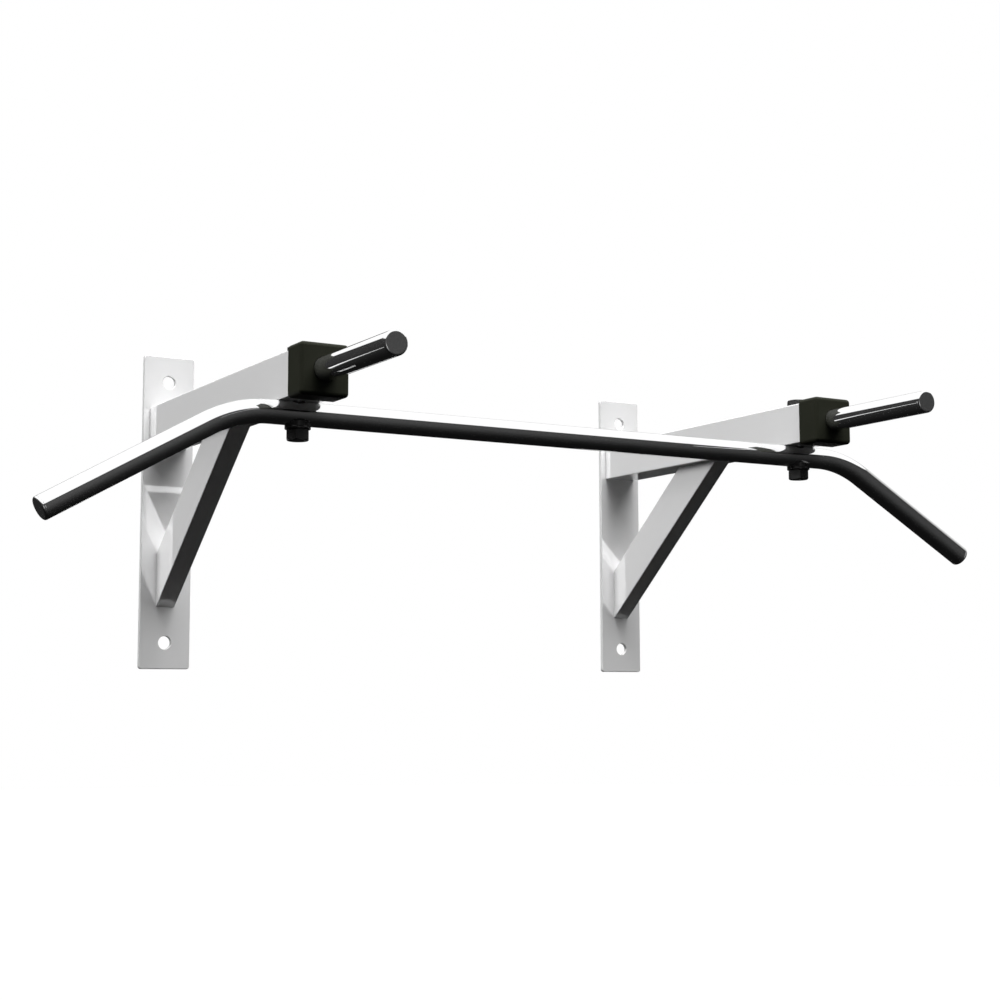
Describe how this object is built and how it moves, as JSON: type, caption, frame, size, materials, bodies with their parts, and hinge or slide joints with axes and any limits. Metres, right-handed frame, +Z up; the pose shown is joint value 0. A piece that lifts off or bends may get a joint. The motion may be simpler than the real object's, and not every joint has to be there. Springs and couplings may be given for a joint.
{
  "type": "wall-mounted pull-up bar",
  "caption": "Wall-mounted pull-up bar: a bent chrome bar bolted under two braced wall brackets, each ending in a block with a straight forward handle.",
  "frame": {"origin": "middle of the four wall holes, on the back plane of the two wall plates", "axes": "+X to the right along the bar as seen from the room, +Y into the wall, +Z up"},
  "size_m": [1.3358, 0.675, 0.42],
  "materials": {
    "bracket_paint": "light grey gloss powder coat",
    "chrome": "polished mirror chrome",
    "end_block": "matte moulded black",
    "black_fastener": "blackened steel",
    "plain_steel": "plain cut tube"
  },
  "bodies": {
    "root": {"left_wall_plate": "bracket_paint", "right_wall_plate": "bracket_paint", "left_arm": "bracket_paint", "right_arm": "bracket_paint", "left_brace": "bracket_paint", "right_brace": "bracket_paint", "left_end_plate": "bracket_paint", "right_end_plate": "bracket_paint", "left_end_block": "end_block", "right_end_block": "end_block", "left_handle": "chrome", "right_handle": "chrome", "left_handle_cap": "chrome", "right_handle_cap": "chrome", "pull_up_bar": "chrome", "left_bar_cap": "chrome", "right_bar_cap": "chrome", "left_arm_sleeve": "plain_steel", "right_arm_sleeve": "plain_steel", "hex_bolts": "black_fastener", "top_washers": "black_fastener", "saddle_washers": "black_fastener", "lower_washers": "black_fastener", "hex_nuts": "black_fastener"}
  },
  "joints": []
}
